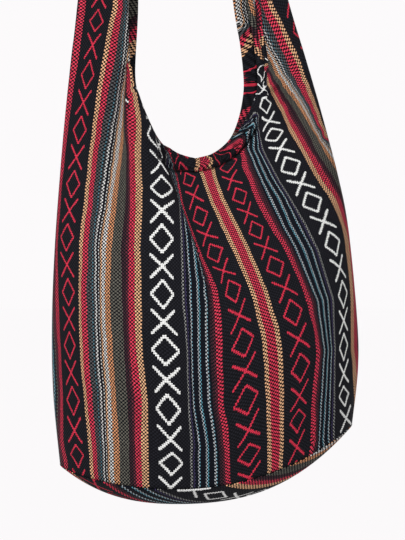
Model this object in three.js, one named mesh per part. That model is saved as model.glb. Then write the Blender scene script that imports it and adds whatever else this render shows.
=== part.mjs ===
// Woven hobo shoulder bag, hanging by its strap: a front and a back cloth panel, each with two
// ears that run up and form the strap, and an oval cloth base. Millimetres, +Z up, front faces -Y.
// The origin is the middle of the strap's underside, where the strap hangs.
import * as THREE from 'three';
import { mergeVertices } from 'three/addons/utils/BufferGeometryUtils.js';

// Cloth, seams and hems
const CLOTH = 1.6;
const SEAM_GAP = 0.3;
const HEM_WIDTH = 14;
const HEM_FOLD_RADIUS = 1.5;
const HEM_LEAN_IN = 1.2;

// Heights below the strap's underside
const NECK_Z = -523;
const FRONT_SEAM_Z = -877;
const BASE_LOWEST_Z = -904;
const LEFT_CORNER_Z = -860;
const RIGHT_CORNER_Z = -816;
const SHOULDER_Z = -540;

// Widths from the strap's middle
const NECK_X = 40;
const BASE_CENTRE_X = 20;
const LEFT_CORNER_X = -112;
const RIGHT_CORNER_X = 213;

// The strap's seat, where it lies flat over whatever it hangs on
const SEAT_HALF_LENGTH = 20;
const STRAP_HALF_WIDTH = 38;
const SEAT_FLAT_HALF_WIDTH = 28;
const SEAT_EDGE_DROOP = 6.8;
const STRAP_BEND_RADIUS = 42;
const LEFT_STRAP_TILT = 6;
const RIGHT_STRAP_TILT = 15;

// Outer fold of the bag seen from the front, from the base corner to the shoulder (x, z)
const LEFT_FLANK = [[-119.5, -780], [-120.8, -700], [-118, -620]];
const RIGHT_FLANK = [[219.5, -755], [218.5, -700], [209, -600]];
const LEFT_SHOULDER_X = -112.5;
const RIGHT_SHOULDER_X = 197.5;

// Outer fold of the strap's two legs, from the shoulder up to the bend (x, z)
const LEFT_LEG = [[-106.7, -473], [-99.5, -405], [-92.5, -344]];
const RIGHT_LEG = [[182, -480], [161, -408], [141.8, -344], [100, -190]];

// Hemmed edge of each ear, from the neckline's lowest point up to the seat (x, z)
const LEFT_FRONT_RIM = [[24, -520.5], [9, -514.5], [-5, -501], [-16, -480], [-27, -451], [-35.5, -424], [-38, -344],
  [-37, -250], [-36.5, -150], [-38, -66], [-34, -22]];
const RIGHT_FRONT_RIM = [[57, -519], [72, -510], [84, -498], [96, -480], [107.5, -452], [109.5, -430], [104, -385],
  [96.5, -344], [72, -200], [47, -66], [36, -22]];
const LEFT_BACK_RIM = [[24, -518.5], [9, -512.5], [-4, -500], [-15, -479], [-26, -451], [-31.5, -424], [-28, -344],
  [-30, -250], [-34, -150], [-37, -66], [-34, -22]];
const RIGHT_BACK_RIM = [[57, -517], [70, -508.5], [81, -496], [89, -476], [94, -452], [95, -430], [91, -392],
  [83, -344], [65, -200], [45, -66], [36, -22]];

// Half depth from front to back: keys run 0 at the base seam, 1 at the neckline, 2 at the seat
const HALF_DEPTH = [[0, 92], [0.16, 100], [0.33, 101], [0.5, 94], [0.64, 82], [0.78, 66], [0.9, 50], [1, 36],
  [1.06, 28], [1.13, 21], [1.22, 16], [1.35, 13], [1.5, 15], [1.7, 21], [1.85, 26], [2, 28]];
// How far the hemmed neckline draws the mouth shut, as a share of the half depth
const MOUTH_DRAW = [[0, 0], [0.6, 0], [0.78, 0.1], [0.9, 0.3], [1, 0.55], [1.07, 0.42], [1.2, 0], [2, 0]];
// Squareness of the cross section: 2 is an ellipse
const SQUARENESS = [[0, 2.3], [0.6, 2.3], [1, 2.5], [1.3, 3], [2, 2.6]];
// How far the strap has opened out flat: 0 folded along its length, 1 flat
const STRAP_OPENING = [[0, 0], [1.45, 0], [1.97, 1], [2, 1]];

// Side seams, measured from the outer fold round to the back
const LEFT_SEAM_SETBACK = [[0, 8], [2, 8]];
const RIGHT_SEAM_SETBACK = [[0, 84], [0.4, 78], [0.8, 40], [1, 18], [1.15, 8], [2, 8]];

// Soft folds in the front: the crease's path (x, z), its depth at each end and its half width at each end
const FRONT_FOLDS = [
  { path: [[0, -508], [16, -538], [26, -568], [58, -638], [72, -712]], depth: [5, 0], width: [9, 26] },
  { path: [[107, -346], [117, -420], [138, -490], [154, -540], [186, -620]], depth: [5, 1], width: [7, 26] },
  { path: [[-40, -420], [-42, -490], [-46, -548], [-44, -640]], depth: [4, 0], width: [8, 22] },
  { path: [[150, -640], [160, -720], [150, -800]], depth: [0.5, 4], width: [30, 34] },
  { path: [[-70, -600], [-78, -700], [-72, -800]], depth: [0.5, 3], width: [26, 30] },
];
// The plain back has two shallow creases
const BACK_FOLDS = [
  { path: [[10, -560], [-20, -640], [-34, -740]], depth: [4, 0], width: [16, 32] },
  { path: [[110, -500], [120, -600], [110, -720]], depth: [4, 0], width: [14, 34] },
];

// Grid of each panel
const BODY_ROWS = 20;
const LEG_ROWS = 12;
const LEG_LENGTH = 200;
const HIDDEN_ROWS = 8;
const BEND_ROWS = 6;
const HALF_COLUMNS = 10;
const BASE_RINGS = 7;
const BASE_ROUNDNESS = 2.6;
// The base lies this share of its thickness lower than the walls stand, because its edge slopes
const BASE_EDGE_DROP = 0.46;
const ROW_SAG_POWER = 2;
const SAG_CHANGE_ROWS = 0.3;
const FOLD_SAMPLES = 24;
const SECTION_SAMPLES = 96;

const red = new THREE.MeshStandardMaterial({ color: 0x9c2436, roughness: 0.95, metalness: 0 });
const black = new THREE.MeshStandardMaterial({ color: 0x1d1e24, roughness: 0.95, metalness: 0 });
const grey = new THREE.MeshStandardMaterial({ color: 0x4a4a48, roughness: 0.95, metalness: 0 });

// A smooth curve through (key, value) pairs that never overshoots them
function smoothValue(pairs, key) {
  let i = 0;
  while (i < pairs.length - 2 && key > pairs[i + 1][0]) i += 1;
  const [k0, v0] = pairs[i];
  const [k1, v1] = pairs[i + 1];
  const slope = (a, b) => (b[1] - a[1]) / (b[0] - a[0]);
  const here = slope(pairs[i], pairs[i + 1]);
  const before = i > 0 ? slope(pairs[i - 1], pairs[i]) : here;
  const after = i < pairs.length - 2 ? slope(pairs[i + 1], pairs[i + 2]) : here;
  const tangent = (a, b) => (a * b <= 0 ? 0 : (2 * a * b) / (a + b));
  const span = k1 - k0;
  const t = THREE.MathUtils.clamp((key - k0) / span, 0, 1);
  const m0 = tangent(before, here) * span;
  const m1 = tangent(here, after) * span;
  const t2 = t * t;
  const t3 = t2 * t;
  return (2 * t3 - 3 * t2 + 1) * v0 + (t3 - 2 * t2 + t) * m0 + (3 * t2 - 2 * t3) * v1 + (t3 - t2) * m1;
}

const vectors = (points) => points.map(([x, z]) => new THREE.Vector2(x, z));

const PATH_DIVISIONS = 400;

function splinePath(points) {
  const [first, ...rest] = vectors(points);
  const path = new THREE.Path().moveTo(first.x, first.y);
  path.splineThru(rest);
  path.arcLengthDivisions = PATH_DIVISIONS;
  return path;
}

const seatMidZ = CLOTH / 2;
const rimSeatZ = seatMidZ - SEAT_EDGE_DROOP;

// The outer fold of one side: up the flank and leg, round the strap's bend and along its flat seat
function outerFold(sign, corner, flank, shoulderX, leg, tiltDegrees) {
  const tilt = THREE.MathUtils.degToRad(tiltDegrees);
  const bendX = sign * SEAT_HALF_LENGTH;
  const bendZ = seatMidZ - STRAP_BEND_RADIUS;
  const springX = bendX + sign * STRAP_BEND_RADIUS * Math.cos(tilt);
  const springZ = bendZ + STRAP_BEND_RADIUS * Math.sin(tilt);
  const path = splinePath([corner, ...flank, [shoulderX, SHOULDER_Z], ...leg, [springX, springZ]]);
  const start = sign > 0 ? tilt : Math.PI - tilt;
  path.absarc(bendX, bendZ, STRAP_BEND_RADIUS, start, Math.PI / 2, sign < 0);
  path.lineTo(0, seatMidZ);
  return path;
}

// Share of a rising path's length at which it reaches a height, below the strap's bend
const BEND_SHARE = 0.9;
const SHARE_ACCURACY = 1e-7;

function shareAtHeight(path, z) {
  let low = 0;
  let high = BEND_SHARE;
  while (high - low > SHARE_ACCURACY) {
    const middle = (low + high) / 2;
    if (path.getPointAt(middle).y < z) low = middle;
    else high = middle;
  }
  return low;
}

function rimPath(sign, points) {
  const path = splinePath([[NECK_X, NECK_Z], ...points, [sign * SEAT_HALF_LENGTH, rimSeatZ]]);
  path.lineTo(0, rimSeatZ);
  return path;
}

function bagSide(sign, corner, flank, shoulderX, leg, tiltDegrees, frontRim, backRim, setback) {
  const fold = outerFold(sign, corner, flank, shoulderX, leg, tiltDegrees);
  const rims = { front: rimPath(sign, frontRim), back: rimPath(sign, backRim) };
  return { sign, fold, rims, setback, shoulder: shareAtHeight(fold, SHOULDER_Z) };
}

const leftSide = bagSide(-1, [LEFT_CORNER_X, LEFT_CORNER_Z], LEFT_FLANK, LEFT_SHOULDER_X, LEFT_LEG,
  LEFT_STRAP_TILT, LEFT_FRONT_RIM, LEFT_BACK_RIM, LEFT_SEAM_SETBACK);
const rightSide = bagSide(1, [RIGHT_CORNER_X, RIGHT_CORNER_Z], RIGHT_FLANK, RIGHT_SHOULDER_X, RIGHT_LEG,
  RIGHT_STRAP_TILT, RIGHT_FRONT_RIM, RIGHT_BACK_RIM, RIGHT_SEAM_SETBACK);

const centreLine = new THREE.LineCurve(
  new THREE.Vector2(BASE_CENTRE_X, FRONT_SEAM_Z),
  new THREE.Vector2(NECK_X, NECK_Z),
);

const smoothstep = (t) => t * t * (3 - 2 * t);

// Depth of the folds at a point of the front or back view
function foldDepth(folds, x, z) {
  let depth = 0;
  for (const fold of folds) {
    fold.curve ??= new THREE.SplineCurve(vectors(fold.path)).getPoints(FOLD_SAMPLES);
    let nearest = Infinity;
    let along = 0;
    fold.curve.forEach((point, i) => {
      const distance = Math.hypot(point.x - x, point.y - z);
      if (distance < nearest) {
        nearest = distance;
        along = i / (fold.curve.length - 1);
      }
    });
    const width = THREE.MathUtils.lerp(fold.width[0], fold.width[1], along);
    depth += THREE.MathUtils.lerp(fold.depth[0], fold.depth[1], along) * Math.exp(-((nearest / width) ** 2));
  }
  return depth;
}

// A point of the cloth's middle. Row runs from 0 at the base seam over 1 at the neckline to 2 at the
// seat; angle runs from -90 degrees at the front's edge over 0 at the outer fold to 90 at the back's.
function clothPoint(side, row, angle) {
  const inBody = row <= 1;
  const share = inBody ? row : row - 1;
  const foldShare = inBody ? share * side.shoulder : THREE.MathUtils.lerp(side.shoulder, 1, share);
  const fold = side.fold.getPointAt(foldShare);
  const rim = angle < 0 ? side.rims.front : side.rims.back;
  const edge = inBody ? centreLine.getPointAt(share) : rim.getPointAt(share);
  const squareness = smoothValue(SQUARENESS, row);
  const opening = smoothValue(STRAP_OPENING, row);
  const turn = angle / (Math.PI / 2);
  const flatY = STRAP_HALF_WIDTH * turn;
  const past = Math.max(0, Math.abs(flatY) - SEAT_FLAT_HALF_WIDTH) / (STRAP_HALF_WIDTH - SEAT_FLAT_HALF_WIDTH);
  const foldedAcross = 1 - Math.abs(Math.cos(angle)) ** (2 / squareness);
  const across = THREE.MathUtils.lerp(foldedAcross, past * past, opening);
  const sagPower = THREE.MathUtils.lerp(ROW_SAG_POWER, 1, THREE.MathUtils.clamp((row - 1) / SAG_CHANGE_ROWS, 0, 1));
  const down = 1 - (1 - across) ** sagPower;
  const x = THREE.MathUtils.lerp(fold.x, edge.x, across);
  const z = THREE.MathUtils.lerp(fold.y, edge.y, down);
  const draw = 1 - smoothValue(MOUTH_DRAW, row) * smoothstep(across);
  const foldedY = smoothValue(HALF_DEPTH, row) * Math.abs(Math.sin(angle)) ** (2 / squareness) * draw;
  const halfY = THREE.MathUtils.lerp(foldedY, Math.abs(flatY), opening);
  const folds = angle < 0 ? FRONT_FOLDS : BACK_FOLDS;
  const pressedIn = foldDepth(folds, x, z) * smoothstep(Math.min(1, Math.abs(turn) * 2)) * (1 - opening);
  return new THREE.Vector3(x, Math.sign(angle) * (halfY - pressedIn), z);
}

// Outward normal of the cloth, from neighbouring points
const NORMAL_STEP = 0.004;

function clothNormal(side, row, angle) {
  const step = NORMAL_STEP;
  const up = clothPoint(side, Math.min(2, row + step), angle).sub(clothPoint(side, Math.max(0, row - step), angle));
  const limit = Math.PI / 2;
  const ahead = clothPoint(side, row, Math.min(limit, angle + step));
  const round = ahead.sub(clothPoint(side, row, Math.max(-limit, angle - step)));
  return round.cross(up).multiplyScalar(side.sign).normalize();
}

// Angles of the points that lie at even distances along one row of a panel
function rowAngles(side, row, face) {
  const angles = [];
  const lengths = [0];
  for (let i = 0; i <= SECTION_SAMPLES; i += 1) angles.push(-Math.PI / 2 + (Math.PI * i) / SECTION_SAMPLES);
  const points = angles.map((angle) => clothPoint(side, row, angle));
  for (let i = 1; i < points.length; i += 1) lengths.push(lengths[i - 1] + points[i].distanceTo(points[i - 1]));
  const middle = SECTION_SAMPLES / 2;
  const seam = lengths[middle] + smoothValue(side.setback, row);
  const total = lengths[SECTION_SAMPLES];
  const start = face === 'front' ? 0 : total;
  const end = face === 'front' ? seam - SEAM_GAP / 2 : seam + SEAM_GAP / 2;
  const result = [];
  for (let column = 0; column <= HALF_COLUMNS; column += 1) {
    const length = THREE.MathUtils.lerp(start, end, column / HALF_COLUMNS);
    let i = 1;
    while (i < SECTION_SAMPLES && lengths[i] < length) i += 1;
    const t = (length - lengths[i - 1]) / (lengths[i] - lengths[i - 1]);
    result.push(THREE.MathUtils.lerp(angles[i - 1], angles[i], t));
  }
  return result;
}

// Rows of a panel: even in the body and legs, wider apart up the straight strap, close round the bend
function rowStations(side) {
  const rows = [];
  const strapLength = side.fold.getLength() * (1 - side.shoulder);
  const legEnd = 1 + LEG_LENGTH / strapLength;
  const bendStart = 2 - (SEAT_HALF_LENGTH + STRAP_BEND_RADIUS * Math.PI / 2) / strapLength;
  const seatStart = 2 - SEAT_HALF_LENGTH / strapLength;
  const addSpan = (from, to, count) => {
    for (let i = 0; i < count; i += 1) rows.push(THREE.MathUtils.lerp(from, to, i / count));
  };
  addSpan(0, 1, BODY_ROWS);
  addSpan(1, legEnd, LEG_ROWS);
  addSpan(legEnd, bendStart, HIDDEN_ROWS);
  addSpan(bendStart, seatStart, BEND_ROWS);
  rows.push(seatStart, 2);
  return rows;
}

// Corners are told apart by so many steps to a millimetre, and merged within a distance
const STEPS_PER_MM = 1000;
const MERGE_DISTANCE = 1e-5;

// Vertices and quads of an open sheet, with shared corners merged and a normal at each vertex
class Sheet {
  constructor() {
    this.index = new Map();
    this.points = [];
    this.normals = [];
    this.quads = [];
  }

  vertex(point, normal) {
    const key = point.toArray().map((value) => Math.round(value * STEPS_PER_MM)).join(',');
    if (!this.index.has(key)) {
      this.index.set(key, this.points.length);
      this.points.push(point);
      this.normals.push(normal);
    }
    return this.index.get(key);
  }

  quad(a, b, c, d) {
    this.quads.push([a, b, c, d]);
  }

  // The sheet given its thickness, as one closed body
  solid(thickness) {
    const positions = [];
    for (const half of [thickness / 2, -thickness / 2]) {
      this.points.forEach((point, i) => {
        const moved = point.clone().addScaledVector(this.normals[i], half);
        if (isSeat(point) && half < 0) moved.z = 0;
        positions.push(...moved.toArray());
      });
    }
    const count = this.points.length;
    const triangles = [];
    const edges = new Map();
    for (const quad of this.quads) {
      const corners = quad.filter((corner, i) => corner !== quad[(i + 1) % 4]);
      for (let i = 1; i < corners.length - 1; i += 1) {
        triangles.push(corners[0], corners[i], corners[i + 1]);
        triangles.push(corners[0] + count, corners[i + 1] + count, corners[i] + count);
      }
      corners.forEach((corner, i) => edges.set(`${corner},${corners[(i + 1) % corners.length]}`, true));
    }
    for (const edge of edges.keys()) {
      const [a, b] = edge.split(',').map(Number);
      if (!edges.has(`${b},${a}`)) triangles.push(a, a + count, b + count, a, b + count, b);
    }
    const geometry = new THREE.BufferGeometry();
    geometry.setAttribute('position', new THREE.Float32BufferAttribute(positions, 3));
    geometry.setIndex(triangles);
    return mergeVertices(geometry, MERGE_DISTANCE);
  }
}

const SEAT_TOLERANCE = 0.01;
const alongSeat = (point) => Math.abs(point.x) < SEAT_HALF_LENGTH + SEAT_TOLERANCE;
const onSeat = (point) => alongSeat(point) && Math.abs(point.y) < SEAT_FLAT_HALF_WIDTH;
const isSeat = (point) => onSeat(point) && Math.abs(point.z - seatMidZ) < SEAT_TOLERANCE;

// The hem turned inside along an ear's edge: over the fold and back down along the inner face
function hemProfile(edge, normal, along) {
  const intoCloth = normal.clone().cross(along).normalize();
  const inward = normal.clone().negate();
  const fold = edge.clone().addScaledVector(intoCloth, -HEM_FOLD_RADIUS).addScaledVector(inward, HEM_FOLD_RADIUS);
  const start = edge.clone().addScaledVector(inward, 2 * HEM_FOLD_RADIUS);
  const end = start.clone().addScaledVector(intoCloth, HEM_WIDTH).addScaledVector(inward, HEM_LEAN_IN);
  return [
    { point: fold, normal: intoCloth.clone().negate() },
    { point: start, normal: inward },
    { point: end, normal: inward },
  ];
}

function addHem(sheet, rimPoints, rimNormals, flip) {
  const profiles = rimPoints.map((point, i) => {
    const before = rimPoints[Math.max(0, i - 1)];
    const after = rimPoints[Math.min(rimPoints.length - 1, i + 1)];
    const along = after.clone().sub(before).normalize().multiplyScalar(flip);
    return [{ point, normal: rimNormals[i] }, ...hemProfile(point, rimNormals[i], along)];
  });
  const rows = profiles.map((profile) => profile.map((corner) => sheet.vertex(corner.point, corner.normal)));
  for (let i = 0; i < rows.length - 1; i += 1) {
    for (let k = 0; k < rows[i].length - 1; k += 1) {
      if (flip > 0) sheet.quad(rows[i][k], rows[i][k + 1], rows[i + 1][k + 1], rows[i + 1][k]);
      else sheet.quad(rows[i][k], rows[i + 1][k], rows[i + 1][k + 1], rows[i][k + 1]);
    }
  }
}

// One half of a panel with its ear; returns the vertices of its bottom row
function addHalf(sheet, side, face, rim) {
  const stations = rowStations(side);
  const grid = stations.map((row) => rowAngles(side, row, face).map((angle) => {
    const point = clothPoint(side, row, angle);
    const normal = isSeat(point) ? new THREE.Vector3(0, 0, 1) : clothNormal(side, row, angle);
    return { point, normal };
  }));
  const ids = grid.map((row) => row.map(({ point, normal }) => sheet.vertex(point, normal)));
  const outward = (side.sign > 0) === (face === 'front');
  for (let r = 0; r < ids.length - 1; r += 1) {
    for (let c = 0; c < HALF_COLUMNS; c += 1) {
      const [a, b, d, e] = [ids[r][c], ids[r][c + 1], ids[r + 1][c + 1], ids[r + 1][c]];
      if (outward) sheet.quad(a, b, d, e);
      else sheet.quad(a, e, d, b);
    }
  }
  grid.slice(BODY_ROWS).forEach((row) => rim.push(row[0]));
  return grid[0];
}

function panel(face) {
  const sheet = new Sheet();
  const rims = { left: [], right: [] };
  const bottoms = {
    left: addHalf(sheet, leftSide, face, rims.left),
    right: addHalf(sheet, rightSide, face, rims.right),
  };
  const rim = [...rims.left].reverse().concat(rims.right.slice(1));
  const flip = face === 'front' ? -1 : 1;
  addHem(sheet, rim.map((corner) => corner.point), rim.map((corner) => corner.normal), flip);
  return { geometry: sheet.solid(CLOTH), bottoms };
}

// The oval base: its edge lies under the walls' bottom edge, and it sags in the middle
const BASE_EDGE_OUTSET = CLOTH / 4;
const BASE_NORMAL_STEP = 0.02;

function basePanel(front, back) {
  const sheet = new Sheet();
  const drop = SEAM_GAP + CLOTH * BASE_EDGE_DROP;
  const ring = [
    ...[...front.left].reverse(),
    ...front.right.slice(1),
    ...[...back.right].reverse(),
    ...back.left.slice(1),
  ].map(({ point, normal }) => {
    const outer = point.clone().addScaledVector(normal, BASE_EDGE_OUTSET);
    outer.z -= drop;
    return outer;
  });
  const centre = new THREE.Vector2(BASE_CENTRE_X, 0);
  const surface = (corner, share) => new THREE.Vector3(
    THREE.MathUtils.lerp(centre.x, corner.x, share),
    THREE.MathUtils.lerp(centre.y, corner.y, share),
    THREE.MathUtils.lerp(BASE_LOWEST_Z, corner.z, share ** BASE_ROUNDNESS),
  );
  const normalAt = (i, share) => {
    if (share === 0) return new THREE.Vector3(0, 0, -1);
    const corner = ring[i];
    const before = ring[(i + ring.length - 1) % ring.length];
    const after = ring[(i + 1) % ring.length];
    const round = surface(after, share).sub(surface(before, share));
    const further = surface(corner, Math.min(1, share + BASE_NORMAL_STEP));
    const out = further.sub(surface(corner, share - BASE_NORMAL_STEP));
    return out.cross(round).normalize().multiplyScalar(-1);
  };
  const rings = [];
  for (let k = 0; k <= BASE_RINGS; k += 1) {
    const share = Math.sqrt(k / BASE_RINGS);
    rings.push(ring.map((corner, i) => sheet.vertex(surface(corner, share), normalAt(i, share))));
  }
  for (let k = 0; k < BASE_RINGS; k += 1) {
    for (let i = 0; i < ring.length; i += 1) {
      const next = (i + 1) % ring.length;
      sheet.quad(rings[k][i], rings[k][next], rings[k + 1][next], rings[k + 1][i]);
    }
  }
  return sheet.solid(CLOTH);
}

function part(name, geometry, material) {
  geometry.computeVertexNormals();
  const mesh = new THREE.Mesh(geometry, material);
  mesh.name = name;
  return mesh;
}

const bag = new THREE.Group();
const front = panel('front');
const back = panel('back');
bag.add(part('front_panel', front.geometry, black));
bag.add(part('back_panel', back.geometry, red));
bag.add(part('base_panel', basePanel(front.bottoms, back.bottoms), grey));

export default bag;
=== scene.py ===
# Woven hobo shoulder bag, hanging by its strap: front, back and base cloth, dressed over the model.
import math

import bpy
import numpy as np
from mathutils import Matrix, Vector


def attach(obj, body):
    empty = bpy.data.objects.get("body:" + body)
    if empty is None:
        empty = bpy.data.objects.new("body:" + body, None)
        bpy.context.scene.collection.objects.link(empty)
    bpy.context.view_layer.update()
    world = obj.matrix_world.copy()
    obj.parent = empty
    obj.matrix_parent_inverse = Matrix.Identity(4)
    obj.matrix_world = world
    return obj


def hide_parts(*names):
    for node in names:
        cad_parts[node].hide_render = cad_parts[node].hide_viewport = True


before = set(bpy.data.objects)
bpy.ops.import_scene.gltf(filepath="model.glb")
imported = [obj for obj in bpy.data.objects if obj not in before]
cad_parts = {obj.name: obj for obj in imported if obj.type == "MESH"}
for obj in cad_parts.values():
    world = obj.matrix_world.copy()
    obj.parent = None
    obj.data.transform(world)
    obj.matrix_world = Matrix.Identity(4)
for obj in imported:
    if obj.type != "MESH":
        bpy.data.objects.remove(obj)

bpy.ops.object.select_all(action="DESELECT")
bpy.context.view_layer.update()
MM = 0.001

# Sizes, in millimetres
CLOTH = 1.6
SHOWN_CLOTH = 1.2
HEM_WIDTH = 14.0
HEM_FOLD_RADIUS = 1.5
NECK = (40.0, -523.0)
FRONT_SEAM = (20.0, -877.0)
BASE_LOWEST_Z = -904.0
SHOULDER_Z = -540.0
SEAT_HALF_LENGTH = 20.0
STRAP_HALF_WIDTH = 38.0
SEAT_FLAT_HALF_WIDTH = 28.0
SEAT_EDGE_DROOP = 6.8
STRAP_BEND_RADIUS = 42.0
SEAT_Z = CLOTH / 2

LEFT_OUTLINE = [(-112, -860), (-119.5, -780), (-120.8, -700), (-118, -620), (-112.5, -540),
                (-106.7, -473), (-99.5, -405), (-92.5, -344)]
RIGHT_OUTLINE = [(213, -816), (219.5, -755), (218.5, -700), (209, -600), (197.5, -540),
                 (182, -480), (161, -408), (141.8, -344), (100, -190)]
LEFT_FRONT_RIM = [(24, -520.5), (9, -514.5), (-5, -501), (-16, -480), (-27, -451), (-35.5, -424),
                  (-38, -344), (-37, -250), (-36.5, -150), (-38, -66), (-34, -22)]
RIGHT_FRONT_RIM = [(57, -519), (72, -510), (84, -498), (96, -480), (107.5, -452), (109.5, -430),
                   (104, -385), (96.5, -344), (72, -200), (47, -66), (36, -22)]
LEFT_BACK_RIM = [(24, -518.5), (9, -512.5), (-4, -500), (-15, -479), (-26, -451), (-31.5, -424),
                 (-28, -344), (-30, -250), (-34, -150), (-37, -66), (-34, -22)]
RIGHT_BACK_RIM = [(57, -517), (70, -508.5), (81, -496), (89, -476), (94, -452), (95, -430),
                  (91, -392), (83, -344), (65, -200), (45, -66), (36, -22)]

# Half depth, mouth and section by height: 0 the base seam, 1 the neckline, 2 the strap's seat
HALF_DEPTH = [(0, 92), (0.16, 100), (0.33, 101), (0.5, 94), (0.64, 82), (0.78, 66), (0.9, 50), (1, 36),
              (1.06, 28), (1.13, 21), (1.22, 16), (1.35, 13), (1.5, 15), (1.7, 21), (1.85, 26), (2, 28)]
MOUTH_DRAW = [(0, 0), (0.6, 0), (0.78, 0.1), (0.9, 0.3), (1, 0.55), (1.07, 0.42), (1.2, 0), (2, 0)]
SQUARENESS = [(0, 2.3), (0.6, 2.3), (1, 2.5), (1.3, 3), (2, 2.6)]
STRAP_OPENING = [(0, 0), (1.45, 0), (1.97, 1), (2, 1)]
LEFT_SETBACK = [(0, 8), (2, 8)]
RIGHT_SETBACK = [(0, 84), (0.4, 78), (0.8, 40), (1, 18), (1.15, 8), (2, 8)]
ROW_SAG_POWER = 2.0
SAG_CHANGE_ROWS = 0.3
BEND_POINTS = 24

# The front view is drawn on squares of 1.12 mm, counted from a corner left of and above the bag
SQUARE = 1.12
CORNER_X = -161 * SQUARE
CORNER_Z = 307 * SQUARE
EYE = (46.5, -1600.0, -646.0)

# Soft folds pressed into the front: path (x, z), depth at both ends, half width at both ends
FRONT_FOLDS = [
    ([(0, -508), (16, -538), (26, -568), (58, -638), (72, -712)], (5, 0), (9, 26)),
    ([(107, -346), (117, -420), (138, -490), (154, -540), (186, -620)], (5, 1), (7, 26)),
    ([(-40, -420), (-42, -490), (-46, -548), (-44, -640)], (4, 0), (8, 22)),
    ([(150, -640), (160, -720), (150, -800)], (0.5, 4), (30, 34)),
    ([(-70, -600), (-78, -700), (-72, -800)], (0.5, 3), (26, 30)),
]
BACK_FOLDS = [
    ([(10, -560), (-20, -640), (-34, -740)], (4, 0), (16, 32)),
    ([(110, -500), (120, -600), (110, -720)], (4, 0), (14, 34)),
]


# Curves
def smooth_value(pairs, key):
    keys = [pair[0] for pair in pairs]
    i = int(np.clip(np.searchsorted(keys, key, side="left") - 1, 0, len(pairs) - 2))
    slopes = [(b[1] - a[1]) / (b[0] - a[0]) for a, b in zip(pairs, pairs[1:])]
    here = slopes[i]
    before = slopes[i - 1] if i > 0 else here
    after = slopes[i + 1] if i < len(slopes) - 1 else here

    def tangent(a, b):
        return 0.0 if a * b <= 0 else 2 * a * b / (a + b)

    span = pairs[i + 1][0] - pairs[i][0]
    t = min(1.0, max(0.0, (key - pairs[i][0]) / span))
    m0 = tangent(before, here) * span
    m1 = tangent(here, after) * span
    t2, t3 = t * t, t * t * t
    return ((2 * t3 - 3 * t2 + 1) * pairs[i][1] + (t3 - 2 * t2 + t) * m0
            + (3 * t2 - 2 * t3) * pairs[i + 1][1] + (t3 - t2) * m1)


def spline(points, steps=40):
    points = np.array(points, float)
    last = len(points) - 1
    pieces = []
    for i in range(last):
        p0, p1, p2, p3 = points[max(i - 1, 0)], points[i], points[i + 1], points[min(i + 2, last)]
        t = np.linspace(0, 1, steps, endpoint=False)[:, None]
        v0, v1 = (p2 - p0) / 2, (p3 - p1) / 2
        bend = -3 * p1 + 3 * p2 - 2 * v0 - v1
        twist = 2 * p1 - 2 * p2 + v0 + v1
        pieces.append(twist * t**3 + bend * t**2 + v0 * t + p1)
    return np.vstack(pieces + [points[-1:]])


class Line:
    def __init__(self, points):
        self.points = np.array(points, float)
        steps = np.linalg.norm(np.diff(self.points, axis=0), axis=1)
        self.reach = np.concatenate([[0], np.cumsum(steps)])
        self.length = self.reach[-1]

    def at(self, share):
        where = share * self.length
        return np.array([np.interp(where, self.reach, self.points[:, k]) for k in range(2)])

    def share_at_height(self, z):
        return float(np.interp(z, self.points[:, 1], self.reach)) / self.length


def outer_fold(sign, outline, tilt_degrees):
    tilt = math.radians(tilt_degrees)
    bend = (sign * SEAT_HALF_LENGTH, SEAT_Z - STRAP_BEND_RADIUS)
    turns = np.linspace(tilt, math.pi / 2, BEND_POINTS)
    across = bend[0] + sign * STRAP_BEND_RADIUS * np.cos(turns)
    arc = np.column_stack([across, bend[1] + STRAP_BEND_RADIUS * np.sin(turns)])
    return Line(np.vstack([spline(outline + [tuple(arc[0])]), arc[1:], [(0, SEAT_Z)]]))


def rim_line(sign, points):
    seat = SEAT_Z - SEAT_EDGE_DROOP
    return Line(np.vstack([spline([NECK] + points + [(sign * SEAT_HALF_LENGTH, seat)]), [(0, seat)]]))


class Side:
    def __init__(self, sign, outline, tilt_degrees, front_rim, back_rim, setback):
        self.sign = sign
        self.fold = outer_fold(sign, outline, tilt_degrees)
        self.rims = {"front": rim_line(sign, front_rim), "back": rim_line(sign, back_rim)}
        self.setback = setback
        self.shoulder = self.fold.share_at_height(SHOULDER_Z)


left_side = Side(-1, LEFT_OUTLINE, 6, LEFT_FRONT_RIM, LEFT_BACK_RIM, LEFT_SETBACK)
right_side = Side(1, RIGHT_OUTLINE, 15, RIGHT_FRONT_RIM, RIGHT_BACK_RIM, RIGHT_SETBACK)


def smoothstep(t):
    t = np.clip(t, 0, 1)
    return t * t * (3 - 2 * t)


# 0 before the start and 1 past the run; a negative run rises towards smaller values
def rise(value, start, run):
    return smoothstep((value - start) / run)


def mixed(ends, share):
    return ends[0] + (ends[1] - ends[0]) * share


FAR = 1e9
TINY = 1e-9
PATH_STEPS = 12


# Distance of many points from a path, how far along it the nearest place is, and on which side they lie
def from_path(path, x, z):
    line = spline(path, PATH_STEPS)
    best = np.full(x.shape, FAR)
    along = np.zeros(x.shape)
    side = np.zeros(x.shape)
    for i in range(len(line) - 1):
        a, b = line[i], line[i + 1]
        step = b - a
        t = np.clip(((x - a[0]) * step[0] + (z - a[1]) * step[1]) / (step @ step), 0, 1)
        dx, dz = x - a[0] - t * step[0], z - a[1] - t * step[1]
        distance = np.hypot(dx, dz)
        near = distance < best
        best = np.where(near, distance, best)
        along = np.where(near, (i + t) / (len(line) - 1), along)
        side = np.where(near, np.sign(step[0] * dz - step[1] * dx), side)
    return best, along, side


def fold_depth(folds, x, z):
    depth = np.zeros(x.shape)
    for path, depths, widths in folds:
        near, along, _ = from_path(path, x, z)
        depth += mixed(depths, along) * np.exp(-((near / mixed(widths, along)) ** 2))
    return depth


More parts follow.
